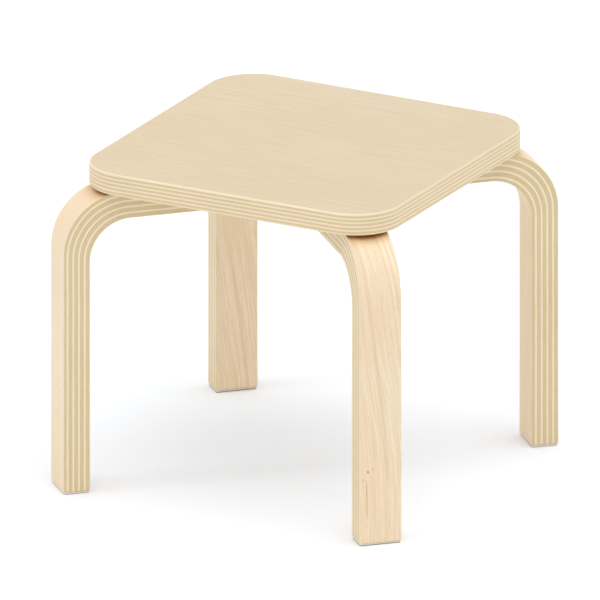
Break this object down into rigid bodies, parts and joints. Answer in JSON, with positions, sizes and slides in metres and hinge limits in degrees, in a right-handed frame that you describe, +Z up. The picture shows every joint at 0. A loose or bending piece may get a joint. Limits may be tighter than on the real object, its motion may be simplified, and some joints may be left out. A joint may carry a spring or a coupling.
{
  "type": "stacking stool",
  "caption": "Low wooden stacking stool: square rounded seat panel bolted to bent laminated legs that stand outside its corners, so the seat of one nests under the next.",
  "frame": {"origin": "on the floor under the middle of the stool, the centre of the bottom face of its bounding box", "axes": "+Z up through the seat, sides of the seat along X and Y, -Y the front, legs on the diagonals between X and Y"},
  "size_m": [0.2992, 0.2992, 0.2556],
  "materials": {
    "seat_plywood": "clear satin lacquer on light birch and maple plywood",
    "leg_laminate": "clear satin lacquer on bent laminated veneer",
    "zinc_steel": "bright zinc plate",
    "insert_metal": "plain machined",
    "nylon": "natural moulded nylon"
  },
  "bodies": {
    "root": {"seat_panel": "seat_plywood", "leg_back_right": "leg_laminate", "leg_back_left": "leg_laminate", "leg_front_left": "leg_laminate", "leg_front_right": "leg_laminate", "foot_pad_back_right": "nylon", "foot_pad_back_left": "nylon", "foot_pad_front_left": "nylon", "foot_pad_front_right": "nylon", "foot_screw_back_right": "zinc_steel", "foot_screw_back_left": "zinc_steel", "foot_screw_front_left": "zinc_steel", "foot_screw_front_right": "zinc_steel", "seat_bolt_back_right_inner": "zinc_steel", "seat_bolt_back_right_outer": "zinc_steel", "seat_bolt_back_left_inner": "zinc_steel", "seat_bolt_back_left_outer": "zinc_steel", "seat_bolt_front_left_inner": "zinc_steel", "seat_bolt_front_left_outer": "zinc_steel", "seat_bolt_front_right_inner": "zinc_steel", "seat_bolt_front_right_outer": "zinc_steel", "washer_back_right_inner": "zinc_steel", "washer_back_right_outer": "zinc_steel", "washer_back_left_inner": "zinc_steel", "washer_back_left_outer": "zinc_steel", "washer_front_left_inner": "zinc_steel", "washer_front_left_outer": "zinc_steel", "washer_front_right_inner": "zinc_steel", "washer_front_right_outer": "zinc_steel", "threaded_insert_back_right_inner": "insert_metal", "threaded_insert_back_right_outer": "insert_metal", "threaded_insert_back_left_inner": "insert_metal", "threaded_insert_back_left_outer": "insert_metal", "threaded_insert_front_left_inner": "insert_metal", "threaded_insert_front_left_outer": "insert_metal", "threaded_insert_front_right_inner": "insert_metal", "threaded_insert_front_right_outer": "insert_metal"}
  },
  "joints": []
}
